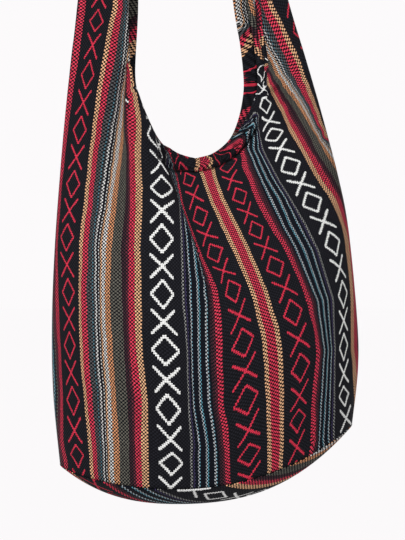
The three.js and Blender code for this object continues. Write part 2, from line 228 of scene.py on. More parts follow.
# Points of the cloth's middle along one row; angle -90 degrees is the front's edge, 0 the outer fold
def cloth_row(side, row, angle):
    in_body = row <= 1
    share = row if in_body else row - 1
    fold_share = share * side.shoulder if in_body else side.shoulder + (1 - side.shoulder) * share
    fold = side.fold.at(fold_share)
    if in_body:
        edge = np.array(FRONT_SEAM) + (np.array(NECK) - np.array(FRONT_SEAM)) * share
        front_edge, back_edge = edge, edge
    else:
        front_edge, back_edge = side.rims["front"].at(share), side.rims["back"].at(share)
    is_front = angle < 0
    edge_x = np.where(is_front, front_edge[0], back_edge[0])
    edge_z = np.where(is_front, front_edge[1], back_edge[1])
    power = 2 / smooth_value(SQUARENESS, row)
    opening = smooth_value(STRAP_OPENING, row)
    turn = angle / (math.pi / 2)
    flat_y = STRAP_HALF_WIDTH * np.abs(turn)
    past = np.maximum(0, flat_y - SEAT_FLAT_HALF_WIDTH) / (STRAP_HALF_WIDTH - SEAT_FLAT_HALF_WIDTH)
    folded_across = 1 - np.abs(np.cos(angle)) ** power
    across = folded_across + (past**2 - folded_across) * opening
    sag = ROW_SAG_POWER + (1 - ROW_SAG_POWER) * min(1, max(0, (row - 1) / SAG_CHANGE_ROWS))
    down = 1 - (1 - across) ** sag
    x = fold[0] + (edge_x - fold[0]) * across
    z = fold[1] + (edge_z - fold[1]) * down
    draw = 1 - smooth_value(MOUTH_DRAW, row) * (across**2 * (3 - 2 * across))
    folded_y = smooth_value(HALF_DEPTH, row) * np.abs(np.sin(angle)) ** power * draw
    half_y = folded_y + (flat_y - folded_y) * opening
    ramp = smoothstep(np.abs(turn) * 2)
    creases = np.where(is_front, fold_depth(FRONT_FOLDS, x, z), fold_depth(BACK_FOLDS, x, z))
    pressed = creases * ramp * (1 - opening)
    return np.stack([x, np.sign(angle) * (half_y - pressed), z], axis=-1)


SAMPLES = 400


# One row laid out at chosen shares of its length, from the front's (or back's) edge to the side seam
def laid_row(side, row, face, shares):
    angles = np.linspace(-math.pi / 2, math.pi / 2, SAMPLES + 1)
    angles[0] += TINY
    points = cloth_row(side, row, angles)
    reach = np.concatenate([[0], np.cumsum(np.linalg.norm(np.diff(points, axis=0), axis=1))])
    seam = reach[SAMPLES // 2] + smooth_value(side.setback, row)
    start, end = (0, seam) if face == "front" else (reach[-1], seam)
    chosen = np.interp(start + (end - start) * shares, reach, angles)
    return cloth_row(side, row, chosen)


# The cloth's stripes, as drawn on it
MARK_STEP = 9.0


# Marks close together along one line: squares right, squares down, and the line's place across the cloth.
# Places count from the red centre stripe, negative to the left, in squares of flat cloth.
def line_marks(place, *spots):
    marks = []
    falling = all(b[1] > a[1] for a, b in zip(spots, spots[1:]))
    pairs = [(y, x) for x, y in spots]
    for (x0, y0), (x1, y1) in zip(spots, spots[1:]):
        count = max(1, round(math.hypot(x1 - x0, y1 - y0) / MARK_STEP))
        for i in range(count):
            y = y0 + (y1 - y0) * i / count
            x = smooth_value(pairs, y) if falling else x0 + (x1 - x0) * i / count
            marks.append((x, y, place))
    return marks + [(*spots[-1], place)]


def all_marks(lines):
    return [mark for place, spots in lines for mark in line_marks(place, *spots)]


HEIGHTS = (3, 50, 100, 150, 200, 250, 300, 350, 400, 440)
CLOSE_HEIGHTS = (25, 38, 50, 62, 75, 86, 100, 112, 125, 137, 150, 165, 180, 200, 225, 250, 300, 350)


# Spots of a line read at set heights, from the first one down
def level(first, *xs):
    return list(zip(xs, HEIGHTS[HEIGHTS.index(first):]))


def close(first, *xs):
    return list(zip(xs, CLOSE_HEIGHTS[CLOSE_HEIGHTS.index(first):]))


FRONT_LINES = [
    (-232, level(3, 79.5, 73.3, 66.8, 61.8, 58.8, 56.2, 55.8, 58.5, 60.8, 60.3)),
    (-227, level(3, 86, 79.7, 72, 65.8, 61, 57.8, 58.8, 61, 63.2, 63.6) + [(68, 462)]),
    (-191, level(3, 113, 103.7, 95.6, 89.4, 84, 79.3, 79, 80, 84.5, 88) + [(90, 468)]),
    (-186, level(3, 119, 109, 100.6, 93.7, 88.3, 83, 81.5, 83, 87.5, 92)),
    (-181, level(3, 123.5, 116.5, 106.5, 98.3, 92.7, 88.6, 87.5, 88.7, 93.5, 96.3)),
    (-173, [(125.5, 45)] + level(100, 117.6, 109, 101.8, 96, 96.7, 97.5, 102, 103.7) + [(105, 475)]),
    (-167, level(100, 122, 116, 109, 102.3, 102, 104, 108, 109)),
    (-163, [(124.2, 95)] + level(150, 119.5, 111.5, 106, 105, 107, 111.5, 113)),
    (-157, level(150, 122.5, 116.5, 111.5, 109.8, 112.7, 115.8, 119) + [(120, 480)]),
    (-145, level(150, 127, 126.5, 122.5, 123.5, 125.5, 128.5, 130.5)),
    (-139, [(125.8, 78)] + level(100, 126, 129, 130, 129, 128.3, 130, 134.3, 135)),
    (-133, [(131, 85), (133.8, 100), (136.8, 128)] + level(150, 135.5, 135.8, 134.7, 134.7, 136.5, 141.8,
     141.3)),
    (-126, [(133.5, 88), (138, 100), (141.7, 128)] + level(150, 141, 142.5, 140.8, 141.5, 142.8, 147.6,
     148.4) + [(149, 480)]),
    (-107.5, [(157, 147), (160.5, 166), (161.5, 189), (162, 239), (163, 294), (165, 350), (168, 409),
     (173, 462)]),
    (-89, [(164.5, 153), (167, 162), (171.5, 175)] + level(200, 178.5, 180.5, 181.7, 186.3, 187.5,
     189.5) + [(190, 480)]),
    (-78, [(170, 160), (174, 175)] + level(200, 182, 188, 191.3, 192, 193.7, 199.5)),
    (-68.5, [(172.5, 158), (176.5, 175)] + level(200, 186, 194.5, 199, 199.7, 201.6, 207.6)),
    (-59, level(300, 206.7, 207.2, 210, 215.3)),
    (-49, [(176, 177)] + level(200, 180, 197, 213.3, 216, 218, 223)),
    (-44, [(166, 149), (178.5, 178)] + level(200, 182.7, 199.7, 219.5, 222.3, 223.3, 229) + [(230, 475)]),
    (-26, [(179, 160), (189, 179), (200, 215), (214, 252), (233, 290), (244, 342), (247, 399),
     (250, 453)]),
    (-8.5, [(194.5, 163), (199.5, 172), (210, 200), (221, 225)] + level(250, 233, 253, 263, 266, 267.5) +
     [(267.5, 468)]),
    (0, [(203, 162), (207, 172), (217, 200), (229.5, 225)] + level(250, 241.5, 261.5, 272, 274.5, 275.3)),
    (8.5, [(212, 160), (215, 172), (225.5, 200), (238, 225)] + level(250, 250, 270, 282, 283.5, 283.5) +
     [(282, 465)]),
    (26, [(228, 156), (227, 167), (240, 196), (256, 230), (275, 266), (293, 312), (300.5, 367),
     (298, 418)]),
    (44, [(240, 143)] + close(165, 242, 248.5, 255.8, 269, 284.5, 306, 316) + [(311.5, 400), (310, 440)]),
    (49, [(226, 150), (243, 139)] + close(165, 247.7, 253.7, 261.5, 275.5, 290.3, 311.5, 320.3) +
     [(315.8, 400), (316.3, 440)]),
    (59, [(220, 149), (235, 139), (249.5, 130), (248, 147), (253.7, 162), (261, 178.7), (267.5, 192.5),
     (273.7, 206)] + close(225, 283, 296, 317, 324) + [(318.5, 440)]),
    (68.5, [(225, 142), (240.5, 132), (253, 123), (253.7, 150), (258.7, 162.5), (266, 178.7),
     (273.7, 191), (280, 202.5)] + close(225, 290, 303.5, 322, 328) + [(322.5, 440)]),
    (78, [(228, 137), (243.5, 127), (256.5, 118), (258.7, 150), (265, 162.5), (271, 175),
     (278.7, 187.5)] + close(200, 286, 298.5, 311.5, 327, 331) + [(328, 430)]),
    (89, [(230, 129), (257.5, 112), (260, 135), (264, 150), (270, 162.5), (281, 182.5), (290, 197)] +
     close(225, 307, 319, 334, 335.5) + [(335, 420)]),
    (107.5, [(263, 84), (265, 104), (274, 135), (290.5, 166), (312, 202), (333, 243), (343, 294),
     (343.5, 346), (343, 394.5)]),
    (126, [(267, 84)] + close(100, 275, 281, 287, 293, 301, 308.7, 317.5, 330, 341, 345.5, 350, 350.5)),
    (133, close(86, 271.5, 278.5, 284.5, 290.5, 297.5, 305, 313, 321.5, 336, 344)),
    (139, close(86, 275, 282, 288, 295.5, 303, 311, 320, 329)),
    (145, close(75, 272, 279, 287.5, 295.5, 302.5, 309.5, 315, 324.5)),
    (157, close(62, 271, 276, 283, 294, 302, 309.5, 317.5, 324)),
    (163, [(264, 45)] + close(62, 273.5, 280.5, 288.5, 298.5, 306, 312.5)),
    (173, [(259, 12), (261.5, 26)] + close(38, 267, 273, 280, 286, 293.5, 302.5, 309)),
    (181, [(261, 6)] + close(25, 270, 276, 281.5, 287, 292, 297.5, 305.5, 311.5, 317, 323)),
    (186, [(267, 3)] + close(25, 278, 284, 289.5, 295.5, 300.5, 304.5, 310.5, 315.5, 320)),
    (191, [(273, 3)] + close(25, 283.5, 290, 296, 300.5, 305, 309.5, 315)),
    (206, [(287.6, 0), (301, 40)]),
]
FRONT_MARKS = all_marks(FRONT_LINES)
# The right ear's hem lies in a fold of its own, so its stripes are drawn apart
VALLEY = [(0, 256.8), (28, 259.5), (53, 264.6), (67, 266.4), (86, 267)]
HEM_FOLD_LINES = [
    (158, [(248.8, 3), (250.3, 9)]),
    (166, [(254.5, 3), (256, 10)]),
    (151, [(252, 20), (256.5, 23)]),
    (145, [(253.2, 29), (258.5, 32)]),
    (139, [(255, 39), (260.5, 43)]),
    (133, [(257, 47), (262.5, 51)]),
    (126, [(257.5, 55), (264, 61)]),
    (119, [(257, 66), (257.5, 76), (258.5, 88), (259.5, 96)]),
    (107.5, [(262, 68), (262.5, 78), (263.5, 88), (264.5, 98), (266, 106)]),
    (96, [(266.5, 72), (267.5, 84), (269, 94)]),
    (89, [(257.5, 112), (260, 135)]),
    (126, [(268.5, 86), (275, 100)]),
]
HEM_FOLD_MARKS = all_marks(HEM_FOLD_LINES)

# Where the diamonds of each figured stripe lie, from the top: the count of the first one, then the squares
# right and down of each. Diamonds with the same count lie on one crosswise thread.
DIAMONDS = [
    (0, [(97, 22), (89, 75), (82, 130), (75, 184), (69, 237), (67, 292), (69, 345), (74, 400), (77, 454)]),
    (3, [(162, 189), (162, 239), (163, 294), (165, 350), (168, 409), (173, 462)]),
    (2, [(189, 179), (200, 215), (214, 252), (233, 290), (244, 342), (247, 399), (250, 453)]),
    (2, [(227, 167), (240, 196), (256, 230), (275, 266), (293, 312), (300.5, 367), (298, 418)]),
    (2, [(274, 135), (290.5, 166), (312, 202), (333, 243), (343, 294), (343.5, 346), (343, 394.5)]),
    (-1, [(282, -25), (297, 29), (313, 83)]),
    (1, [(263, 106)]),
    (0, [(261, 72)]),
]
REPEAT = 54.0


# A smooth field through marks (x, y, value), level at its far edges
class Field:
    SOFT = 2.0
    GIVE = 1e-3
    BATCH = 4000

    def __init__(self, marks):
        marks = np.array(marks, float)
        self.spots = marks[:, :2]
        count = len(marks)
        size = count + 3
        system = np.zeros((size, size))
        system[:count, :count] = self.kernel(self.spots)
        system[:count, count] = 1
        system[:count, count + 1:] = self.spots
        system[count:, :count] = system[:count, count:].T
        system[:count, :count] += np.eye(count) * self.GIVE
        self.weights = np.linalg.solve(system, np.concatenate([marks[:, 2], np.zeros(3)]))

    def kernel(self, spots):
        apart = spots[:, None, :] - self.spots[None, :, :]
        return -np.sqrt((apart**2).sum(axis=2) + self.SOFT**2)

    def at(self, x, y):
        spots = np.stack([x.ravel(), y.ravel()], axis=1)
        values = np.empty(len(spots))
        count = len(self.spots)
        for start in range(0, len(spots), self.BATCH):
            part = spots[start:start + self.BATCH]
            slope = part @ self.weights[count + 1:]
            bends = self.kernel(part) @ self.weights[:count]
            values[start:start + self.BATCH] = bends + self.weights[count] + slope
        return values.reshape(x.shape)


# Folds part the front's stripes into sectors: within a fold some of the cloth is tucked out of sight.
# A path lists squares down, then squares right, and a fold ends so many squares down.
LEFT_VALLEY = [
    (-40, 135), (58, 132), (64, 126), (90, 124.6), (106, 124), (125, 123.7), (150, 125), (520, 126),
]
VALLEY_END = 150
NECK_PLEAT = [
    (140, 160), (147, 163), (160, 172.5), (175, 176), (185, 177.5), (200, 180), (225, 188), (250, 196),
    (275, 203.5), (300, 210.5), (350, 213), (400, 215), (440, 219.5), (520, 221),
]
PLEAT_END = 290


# One sector's lines, with its left and right neighbours' lines from where the folds between have ended
def sector(lowest, highest, left_end, right_end):
    marks = []
    for x, y, place in FRONT_MARKS:
        end = left_end if place < lowest else right_end
        if lowest <= place <= highest or y >= end:
            marks.append((x, y, place))
    return Field(marks)


left_of_valley = sector(-240, -157, VALLEY_END, VALLEY_END)
left_of_pleat = sector(-145, -68.5, VALLEY_END, PLEAT_END)
right_of_pleat = sector(-49, 240, PLEAT_END, PLEAT_END)
across_hem_fold = Field(HEM_FOLD_MARKS)
FOLD_SOFTNESS = 0.5
ENDED_FOLD_SOFTNESS = 6
FOLD_RUN_OUT = 30


def across_path(path, y):
    return np.interp(y, [spot[0] for spot in path], [spot[1] for spot in path])


# Share of the sector on a path's right, sharp in the fold and softer where the fold has run out
def right_of(path, x, y, fold_end):
    soft = FOLD_SOFTNESS + ENDED_FOLD_SOFTNESS * rise(y, fold_end, FOLD_RUN_OUT)
    return smoothstep((x - across_path(path, y)) / soft / 2 + 0.5)


MARKS_TO_A_REPEAT = 6


def crosswise_marks(diamonds):
    marks = []
    for first, spots in diamonds:
        fine = spline(spots, MARKS_TO_A_REPEAT) if len(spots) > 1 else np.array(spots, float)
        marks += [(x, y, first + i / MARKS_TO_A_REPEAT) for i, (x, y) in enumerate(fine)]
    return marks


down_left = Field(crosswise_marks(DIAMONDS[:2]))
down_right = Field(crosswise_marks(DIAMONDS[2:]))


# Squares right and down at which a point is seen from the front
def drawn_at(points):
    reach = -EYE[1] / (points[..., 1] - EYE[1])
    x = EYE[0] + (points[..., 0] - EYE[0]) * reach
    z = EYE[2] + (points[..., 2] - EYE[2]) * reach
    return (x - CORNER_X) / SQUARE, -(z + CORNER_Z) / SQUARE


def normals_of(grid, flip):
    up = np.gradient(grid, axis=0)
    over = np.gradient(grid, axis=1)
    normal = np.cross(over, up) * flip
    return normal / np.maximum(TINY, np.linalg.norm(normal, axis=-1, keepdims=True))


# The right ear's hem fold: its left limit, and where it fades out, as a start and a run down.
# The drawing is trusted where the cloth faces the eye so much, again as a start and a run.
HEM_FOLD_LEFT = 230
HEM_FOLD_END = (84, 22)
FACING = (0.04, 0.14)


# Stripes' place (across, along) where the front is seen, as drawn
def drawn_places(x, y):
    past_valley = right_of(LEFT_VALLEY, x, y, VALLEY_END)
    past_pleat = right_of(NECK_PLEAT, x, y, PLEAT_END)
    across = left_of_valley.at(x, y) * (1 - past_valley) + left_of_pleat.at(x, y) * past_valley
    across = across * (1 - past_pleat) + right_of_pleat.at(x, y) * past_pleat
    on_hem = (x < across_path(VALLEY, y)) & (x > HEM_FOLD_LEFT)
    share = np.where(on_hem, 1 - rise(y, *HEM_FOLD_END), 0)
    across += (across_hem_fold.at(x, y) - across) * share
    return across, down_left.at(x, y) * (1 - past_pleat) + down_right.at(x, y) * past_pleat


# Stripes' place at each point of half the front: as drawn where it faces the front, and by the cloth's own
# length where it turns away round the side or rises above the drawing
def front_pattern(grid, normals, top_row):
    x, y = drawn_at(grid)
    across, down = drawn_places(x, y)
    drawn_steps = np.diff(across, axis=1)
    drawn_falls = np.diff(down, axis=1)
    sight = grid - np.array(EYE)
    sight = sight / np.linalg.norm(sight, axis=-1, keepdims=True)
    trust = rise(-(normals * sight).sum(axis=-1), *FACING)[:, 1:]
    outward = np.sign(x[:, -1:] - x[:, :1])
    own_steps = outward * np.linalg.norm(np.diff(grid, axis=1), axis=-1) / SQUARE
    own_falls = -np.diff(grid[..., 2], axis=1) / (SQUARE * REPEAT)
    across[:, 1:] = trust * drawn_steps + (1 - trust) * own_steps
    down[:, 1:] = trust * drawn_falls + (1 - trust) * own_falls
    across = np.cumsum(across, axis=1)
    down = np.cumsum(down, axis=1)
    for r in range(top_row + 1, len(grid)):
        across[r] = across[top_row]
        step = np.linalg.norm(grid[r] - grid[r - 1], axis=-1).mean() / (SQUARE * REPEAT)
        down[r] = down[r - 1] - step
    return across, down


# Meshes
class Shell:
    """Rows of points given their thickness as one closed skin, with the pattern's place on it."""

    def __init__(self):
        self.points, self.normals, self.places, self.quads, self.known = [], [], [], [], {}

    def vertex(self, point, normal, place):
        key = tuple(np.round(point, 3))
        if key not in self.known:
            self.known[key] = len(self.points)
            self.points.append(point)
            self.normals.append(normal)
            self.places.append(place)
        return self.known[key]

    def grid(self, points, normals, places, outward):
        ids = [[self.vertex(points[r, c], normals[r, c], places[r, c]) for c in range(points.shape[1])]
               for r in range(points.shape[0])]
        for r in range(len(ids) - 1):
            for c in range(len(ids[0]) - 1):
                a, b, d, e = ids[r][c], ids[r][c + 1], ids[r + 1][c + 1], ids[r + 1][c]
                self.quads.append((a, b, d, e) if outward else (a, e, d, b))

    def mesh(self, name, thickness):
        points, normals = np.array(self.points), np.array(self.normals)
        count = len(points)
        both = np.vstack([points + normals * thickness / 2, points - normals * thickness / 2]) * MM
        faces, edges = [], set()
        for quad in self.quads:
            loop = [corner for i, corner in enumerate(quad) if corner != quad[(i + 1) % 4]]
            if len(loop) < 3:
                continue
            faces.append(tuple(loop))
            faces.append(tuple(corner + count for corner in reversed(loop)))
            edges.update((loop[i], loop[(i + 1) % len(loop)]) for i in range(len(loop)))
        for a, b in edges:
            if (b, a) not in edges:
                faces.append((b, a, a + count, b + count))
        mesh = bpy.data.meshes.new(name)
        mesh.from_pydata(both.tolist(), [], faces)
        places = np.array(self.places + self.places)
        corners = np.empty(len(mesh.loops), dtype=np.int32)
        mesh.loops.foreach_get("vertex_index", corners)
        uv = mesh.uv_layers.new(name="cloth")
        uv.data.foreach_set("uv", places[corners, :2].astype(np.float32).ravel())
        hem = np.zeros((len(corners), 2), dtype=np.float32)
        hem[:, 0] = places[corners, 2]
        mesh.uv_layers.new(name="hem").data.foreach_set("uv", hem.ravel())
        mesh.update()
        return mesh


def add_piece(mesh, material, node):
    piece = bpy.data.objects.new(mesh.name, mesh)
    bpy.context.scene.collection.objects.link(piece)
    mesh.materials.append(material)
    for face in mesh.polygons:
        face.use_smooth = True
    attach(piece, "root")
    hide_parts(node)
    return piece


def strap_length(side):
    return side.fold.length * (1 - side.shoulder)


# Rows of the body, the seen and the hidden strap and its bend, from the base seam up
FRONT_ROWS = (120, 92, 26, 14)
FRONT_COLUMNS = 72
BACK_ROWS = (70, 60, 20, 12)
BACK_COLUMNS = 48
BODY_CROWDING = 1.25
EAR_CROWDING = 1.15
SEEN_STRAP = 205
COLUMN_CROWDING = 1.25


# Heights of the rows: 0 to 1 for the body and 1 to 2 for the strap
def stations(side, body_rows, seen_rows, hidden_rows, bend_rows):
    seen_end = 1 + SEEN_STRAP / strap_length(side)
    bend = 2 - (SEAT_HALF_LENGTH + STRAP_BEND_RADIUS * math.pi / 2) / strap_length(side)
    body = 1 - (1 - np.linspace(0, 1, body_rows, endpoint=False)) ** BODY_CROWDING
    seen = 1 + (seen_end - 1) * np.linspace(0, 1, seen_rows, endpoint=False) ** EAR_CROWDING
    hidden = np.linspace(seen_end, bend, hidden_rows, endpoint=False)
    return np.concatenate([body, seen, hidden, np.linspace(bend, 2, bend_rows)])


def half_grid(side, face, rows, columns):
    shares = np.linspace(0, 1, columns + 1) ** COLUMN_CROWDING
    return np.stack([laid_row(side, row, face, shares) for row in rows])


# Fine pleats of the front: path in drawn squares, depth and half width at both ends, and how far the cloth
# on the right side stands over that on the left
PLEATS = [
    ([(161, 145), (175, 172), (184, 200), (213, 262), (225, 330)], (9, 0), (3.4, 15), 2.4),
    ([(256.8, -4), (259.5, 28), (264.6, 53), (266.6, 70), (270, 88)], (9, 1), (2.4, 4.5), 2.4),
    ([(125, 64), (124.6, 88), (123.4, 120), (117, 170), (112, 270)], (7, 0), (3, 14), -0.6),
    ([(272, 86), (284, 107), (296, 126), (309, 146), (326, 176)], (7, 0), (7, 13), 0.4),
]

# How fast a pleat fades in and out along its path, and how wide the overlap's step spreads
PLEAT_FADE_IN = 12
PLEAT_FADE_OUT = 4
OVERLAP_WIDTHS = 3
# Where the stitching shows, each a start and a run in squares
STITCHED_BELOW = (116, 14)
STITCHED_FROM_LEFT = (148, 10)
STITCHED_FROM_RIGHT = (266, -8)
# The hem's band, its rope of twisted threads and the line of its stitches
STITCH_DEPTH = 3.0
STITCH_HALF_WIDTH = 2.0
BAND_HEIGHT = 1.6
BAND_SHOULDER = 4
ROPE_HEIGHT = 0.45
ROPE_SHOULDER = 3
ROPE_TURNS = (1.15, 0.55, 0.25)
ROPE_TOP = (-60, 40)
UNSTITCHED_ROPE = 0.25


# The hem's stitching shows along the neckline, and gives way on the ears
def stitched_share(grid):
    x, y = drawn_at(grid)
    return rise(y, *STITCHED_BELOW) * rise(x, *STITCHED_FROM_LEFT) * rise(x, *STITCHED_FROM_RIGHT)


def pleat_depth(x, y):
    inward = np.zeros(x.shape)
    for path, depths, widths, step in PLEATS:
        near, along, turn = from_path(path, x, y)
        fade = smoothstep(along * PLEAT_FADE_IN) * smoothstep((1 - along) * PLEAT_FADE_OUT)
        width = mixed(widths, along)
        crease = np.exp(-((near * SQUARE / width) ** 2))
        overlap = np.exp(-((near * SQUARE / (width * OVERLAP_WIDTHS)) ** 2))
        inward += (mixed(depths, along) * crease - step * turn * overlap * (1 - crease)) * fade
    return inward


# A slightly fuller, roped band along the rim, then the sunk line of its stitching
def hem_depth(x, y, from_rim, stitched):
    def band(shoulder):
        return smoothstep(from_rim / shoulder) * smoothstep((HEM_WIDTH - from_rim) / shoulder)

    turns = x * ROPE_TURNS[0] + y * ROPE_TURNS[1] + from_rim * ROPE_TURNS[2]
    roped = rise(y, *ROPE_TOP) * (UNSTITCHED_ROPE + (1 - UNSTITCHED_ROPE) * stitched)
    sunk = STITCH_DEPTH * np.exp(-(((from_rim - HEM_WIDTH) / STITCH_HALF_WIDTH) ** 2)) * stitched
    full = BAND_HEIGHT * band(BAND_SHOULDER) * stitched
    return sunk - full - ROPE_HEIGHT * np.sin(turns) * band(ROPE_SHOULDER) * roped


def relief(grid, from_rim):
    x, y = drawn_at(grid)
    return pleat_depth(x, y) + hem_depth(x, y, from_rim, stitched_share(grid))


def distance_from(points, line):
    best = np.full(points.shape[:-1], FAR)
    for i in range(len(line) - 1):
        a, b = line[i], line[i + 1]
        step = b - a
        t = np.clip(((points - a) @ step) / (step @ step), 0, 1)
        best = np.minimum(best, np.linalg.norm(points - a - t[..., None] * step, axis=-1))
    return best


# Rows round the hem's fold, rows down its inner side, and how far its loose edge springs in
FOLD_STEPS = 7
HEM_RUNS = (3.0, 6.5, 10.0, HEM_WIDTH)
HEM_SPRING = 1.2


# The hem turned inside: over the rim's fold and back down the cloth's inner face
def hem_strip(rim, normals, places, into, into_place):
    along = np.gradient(rim, axis=0)
    along /= np.linalg.norm(along, axis=1, keepdims=True)
    into = into - (into * along).sum(axis=1, keepdims=True) * along
    into = into - (into * normals).sum(axis=1, keepdims=True) * normals
    into /= np.maximum(TINY, np.linalg.norm(into, axis=1, keepdims=True))
    inward = -normals
    radius = HEM_FOLD_RADIUS
    points, faces, marks = [], [], []
    for turn in np.linspace(0, math.pi, FOLD_STEPS):
        out = -into * math.sin(turn) - inward * math.cos(turn)
        points.append(rim + inward * radius + out * radius)
        faces.append(out)
        marks.append(places - into_place * (radius * turn))
    for run in HEM_RUNS:
        points.append(rim + inward * (2 * radius + HEM_SPRING * run / HEM_WIDTH) + into * run)
        faces.append(inward)
        marks.append(places - into_place * (radius * math.pi + run))
    return np.stack(points, axis=1), np.stack(faces, axis=1), np.stack(marks, axis=1)


# Added to the distance from the rim where the hem isn't stitched, so that its band doesn't show there
UNSTITCHED = 100
SHORTEST_STEP = 0.5


# One half of a panel with its relief: points, normals, and the pattern's place with the hem's
def dressed_half(face, side, grid, from_rim, body_rows, top_row):
    flip = side.sign if face == "front" else -side.sign
    normals = normals_of(grid, flip)
    hem_place = from_rim + UNSTITCHED * (1 - stitched_share(grid))
    if face == "front":
        across, down = front_pattern(grid, normals, top_row)
        grid = grid - normals * relief(grid, from_rim)[..., None]
        normals = normals_of(grid, flip)
    else:
        across, down = back_pattern(grid, side, body_rows)
    middle = normals[:body_rows, 0].copy()
    middle[:, 0] = 0
    normals[:body_rows, 0] = middle / np.linalg.norm(middle, axis=1, keepdims=True)
    return grid, normals, np.stack([across, down, hem_place], axis=-1)


# The turned hem along both ears and the neckline, from the halves' rows above the body
def turned_hem(face, left, right):
    points, normals, places = [np.concatenate([a[::-1], b[1:]]) for a, b in zip(left, right)]
    into = points[:, 2] - points[:, 0]
    length = np.linalg.norm(into, axis=1, keepdims=True)
    into_place = (places[:, 2] - places[:, 0]) / np.maximum(SHORTEST_STEP, length)
    neck = len(left[0]) - 1
    into[neck] = into[neck - 1] + into[neck + 1]
    into_place[neck] = (into_place[neck - 1] + into_place[neck + 1]) / 2
    strip = hem_strip(points[:, 0], normals[:, 0], places[:, 0], into, into_place)
    if face == "back":
        draw_strips(strip[0], strip[2], neck)
    return strip


def make_panel(face, name, counts, columns, material, node):
    body_rows = counts[0]
    top_row = counts[0] + counts[1]
    sides = (left_side, right_side)
    grids = [half_grid(side, face, stations(side, *counts), columns) for side in sides]
    rim = np.vstack([grids[0][body_rows:, 0][::-1], grids[1][body_rows:, 0][1:]])
    shell = Shell()
    ears = []
    for side, grid in zip(sides, grids):
        half = dressed_half(face, side, grid, distance_from(grid, rim[::2]), body_rows, top_row)
        shell.grid(*half, (side.sign > 0) == (face == "front"))
        ears.append([part[body_rows:] for part in half])
    shell.grid(*turned_hem(face, *ears), face == "back")
    piece = add_piece(shell.mesh(name, SHOWN_CLOTH), material, node)
    return piece, [grid[0] for grid in grids]


# Stripe lines on the back ears' strips, which show inside the front's rims
LEFT_STRIP_LINES = [
    (-151, [(127, 14), (136, 5)]),
    (-142, [(127, 30), (135, 22)]),
    (-136, [(127, 41), (134.5, 34)]),
    (-129, [(127, 57), (134, 47)]),
    (-121, [(128, 78), (132.5, 72)]),
    (-119, [(132, 140)]),
    (-180, [(130, -60)]),
]
RIGHT_STRIP_LINES = [
    (165, [(237, 2), (241, 24)]),
    (171, [(243, 2), (245.5, 24)]),
    (178, [(246.5, 2)]),
    (183, [(243, 36), (249, 30)]),
    (188.5, [(245, 50), (251, 42)]),
    (209, [(246, 84), (256, 84)]),
    (229, [(244, 112), (256, 107)]),
    (238, [(243, 128)]),
    (140, [(240, -60)]),
]
strip_fields = {-1: Field(all_marks(LEFT_STRIP_LINES)), 1: Field(all_marks(RIGHT_STRIP_LINES))}
# Where those lines hold, each a start and a run: high on the hem, and high on the ear near its rim
HEM_DRAWN_ABOVE = (140, -12)
EAR_DRAWN_ABOVE = (135, -15)
EAR_DRAWN_RUN = (16, 8)
BACK_MIDDLE_PLACE = 12.0


def draw_strips(points, places, middle):
    x, y = drawn_at(points)
    for sign, rows in ((-1, slice(0, middle)), (1, slice(middle, None))):
        high = rise(y[rows], *HEM_DRAWN_ABOVE)
        drawn = strip_fields[sign].at(x[rows], y[rows])
        places[rows, :, 0] += (drawn - places[rows, :, 0]) * high


# Stripes' place at each point of half the back; on the ears they go on from the body's side seam inwards
def back_pattern(grid, side, body_rows):
    steps = np.linalg.norm(np.diff(grid, axis=1), axis=-1) / SQUARE
    run = np.concatenate([np.zeros((len(grid), 1)), np.cumsum(steps, axis=1)], axis=1)
    seam = np.concatenate([run[:body_rows, -1], np.full(len(run) - body_rows, run[body_rows - 1, -1])])
    across = BACK_MIDDLE_PLACE + side.sign * (run + (seam - run[:, -1])[:, None])
    down = -grid[..., 2] / (SQUARE * REPEAT)
    x, y = drawn_at(grid)
    field = strip_fields[side.sign].at(x, y)
    near_rim = 1 - rise(run * SQUARE, *EAR_DRAWN_RUN)
    return across + (field - across) * near_rim * rise(y, *EAR_DRAWN_ABOVE), down


# The base
BASE_RINGS = 26
BASE_CROWDING = 0.6
BASE_ROUNDNESS = 2.6
BASE_LAP = (0.2, -1.0)
# Turn of the base's cloth, and the place across that lies at one spot of it
BASE_TURN = math.radians(40)
BASE_PLACE = 98
BASE_PLACE_SPOT = (20, -92)


# The oval bottom, lapping the panels' lower edges and bellied below them
def make_base(front_edges, back_edges, material):
    front = np.vstack([front_edges[0][::-1], front_edges[1][1:]])
    back = np.vstack([back_edges[1][::-1], back_edges[0][1:]])
    ring = np.vstack([front[:-1], back[:-1], front[:1]])
    centre = np.array([FRONT_SEAM[0], 0.0])
    outward = ring[:, :2] - centre
    ring[:, :2] += outward / np.linalg.norm(outward, axis=1, keepdims=True) * BASE_LAP[0]
    ring[:, 2] += BASE_LAP[1]
    middle = np.array([*centre, BASE_LOWEST_Z])
    shares = np.linspace(0, 1, BASE_RINGS + 1)[:, None] ** BASE_CROWDING
    powers = np.stack([shares, shares, shares**BASE_ROUNDNESS], axis=-1)
    grid = middle + (ring - middle) * powers
    normals = normals_of(grid, 1)
    normals[0] = (0, 0, -1)
    normals[:, -1] = normals[:, 0] = (normals[:, 0] + normals[:, -1]) / 2
    x, y = grid[..., 0], grid[..., 1]
    right = (x - BASE_PLACE_SPOT[0]) * math.sin(BASE_TURN)
    behind = (y - BASE_PLACE_SPOT[1]) * math.cos(BASE_TURN)
    across = BASE_PLACE + (right - behind) / SQUARE
    down = (x * math.cos(BASE_TURN) + y * math.sin(BASE_TURN)) / (SQUARE * REPEAT)
    shell = Shell()
    shell.grid(grid, normals, np.stack([across, down, np.full(x.shape, UNSTITCHED)], axis=-1), False)
    return add_piece(shell.mesh("base_cloth", SHOWN_CLOTH), material, "base_panel")


# Materials
def srgb(r, g, b):
    def linear(v):
        v = v / 255
        return v / 12.92 if v <= 0.04045 else ((v + 0.055) / 1.055) ** 2.4
    return (linear(r), linear(g), linear(b), 1)


